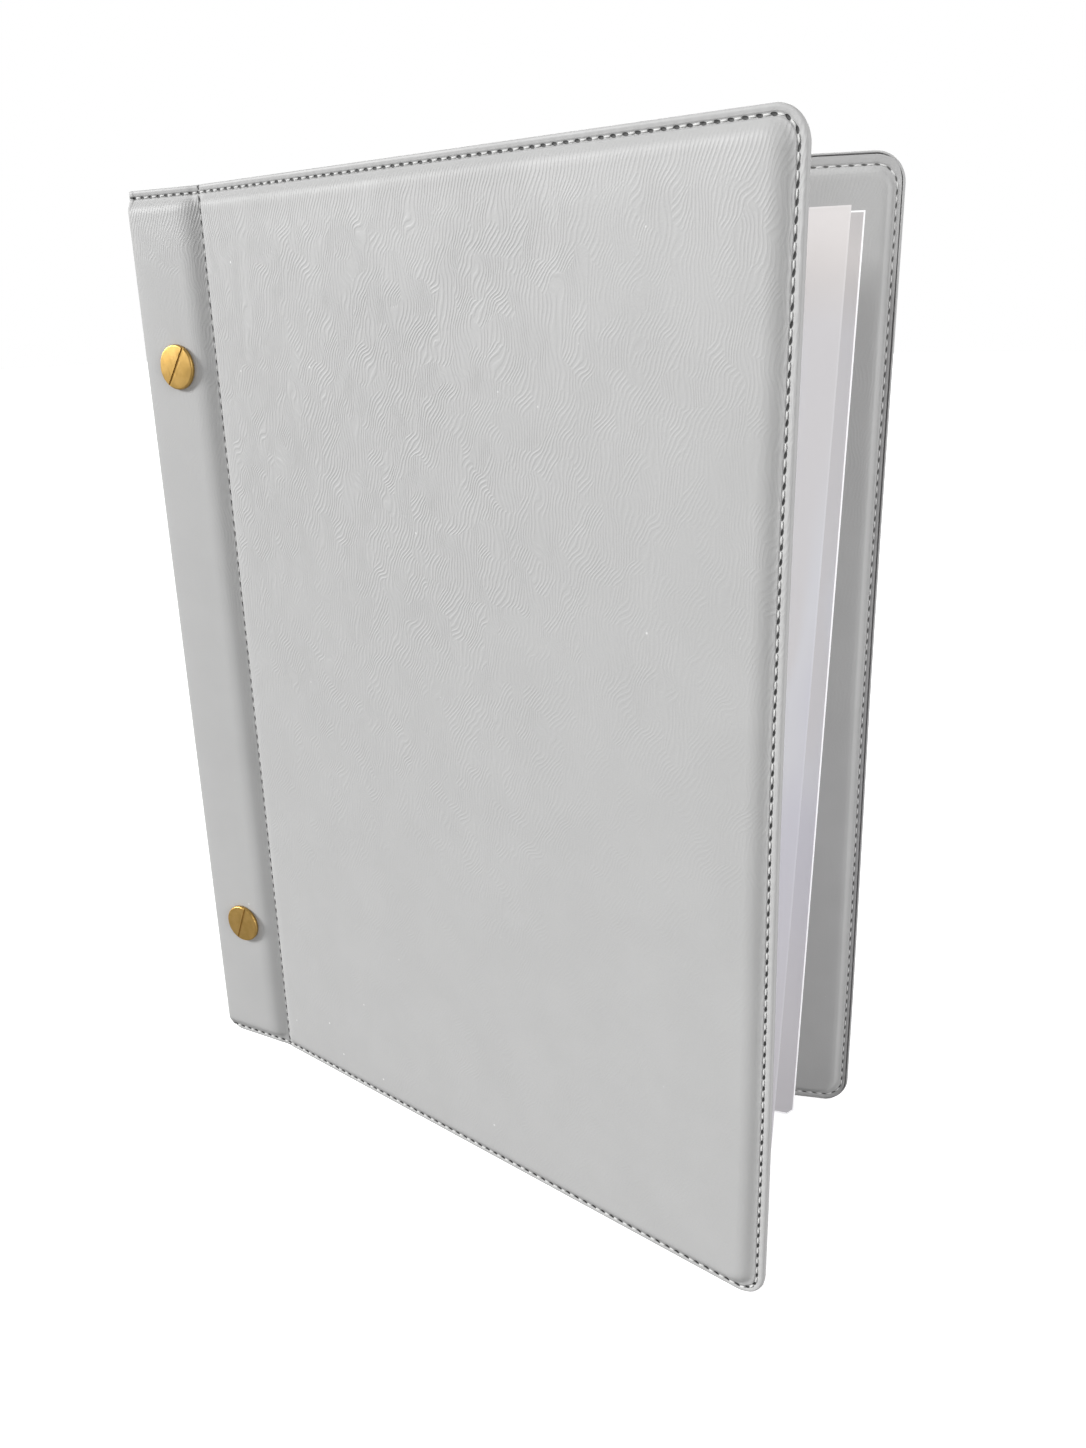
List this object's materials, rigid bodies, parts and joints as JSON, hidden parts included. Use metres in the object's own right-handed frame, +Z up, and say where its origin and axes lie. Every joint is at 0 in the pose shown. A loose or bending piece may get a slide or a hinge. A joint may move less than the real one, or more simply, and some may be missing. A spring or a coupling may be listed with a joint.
{
  "type": "display book",
  "caption": "Screw-post display book with padded stitched leather covers on soft hinges and a block of clear pockets for loose sheets.",
  "frame": {"origin": "on the standing surface, under the middle of the box around the standing book with both covers ajar", "axes": "+Z up along the spine, +X from the spine towards the covers' free edges, -Y out of the front binding strip's face"},
  "size_m": [0.2384, 0.1046, 0.311],
  "materials": {
    "outer_leather": "satin pebbled coated leather cloth",
    "lining_leather": "satin coated leather cloth, a darker grey",
    "board": "matt greyboard",
    "padding": "matt thin foam",
    "thread": "matt twisted thread",
    "brass": "satin brass",
    "clear_film": "glossy clear film"
  },
  "bodies": {
    "binding": {"front_strip_skin": "outer_leather", "front_strip_padding": "padding", "front_strip_board": "board", "front_strip_lining": "lining_leather", "front_strip_needle_thread_bottom": "thread", "front_strip_bobbin_thread_bottom": "thread", "front_strip_needle_thread_top": "thread", "front_strip_bobbin_thread_top": "thread", "back_strip_skin": "outer_leather", "back_strip_padding": "padding", "back_strip_board": "board", "back_strip_lining": "lining_leather", "back_strip_needle_thread_bottom": "thread", "back_strip_bobbin_thread_bottom": "thread", "back_strip_needle_thread_top": "thread", "back_strip_bobbin_thread_top": "thread", "display_pockets": "clear_film", "lower_screw": "brass", "lower_post": "brass", "upper_screw": "brass", "upper_post": "brass"},
    "front_cover": {"front_panel_skin": "outer_leather", "front_panel_padding": "padding", "front_panel_board": "board", "front_panel_lining": "lining_leather", "front_panel_needle_thread": "thread", "front_panel_bobbin_thread": "thread"},
    "back_cover": {"back_panel_skin": "outer_leather", "back_panel_padding": "padding", "back_panel_board": "board", "back_panel_lining": "lining_leather", "back_panel_needle_thread": "thread", "back_panel_bobbin_thread": "thread"}
  },
  "joints": [
    {"name": "front_cover_hinge", "type": "hinge", "parent": "binding", "child": "front_cover", "pos_m": [-0.08988, -0.01363, 0], "axis": [0, 0, -1], "range_deg": [-10.5, 129.5]},
    {"name": "back_cover_hinge", "type": "hinge", "parent": "binding", "child": "back_cover", "pos_m": [-0.08988, -0.00503, 0], "axis": [0, 0, 1], "range_deg": [-15.8, 124.2], "deforming": ["display_pockets"]}
  ]
}
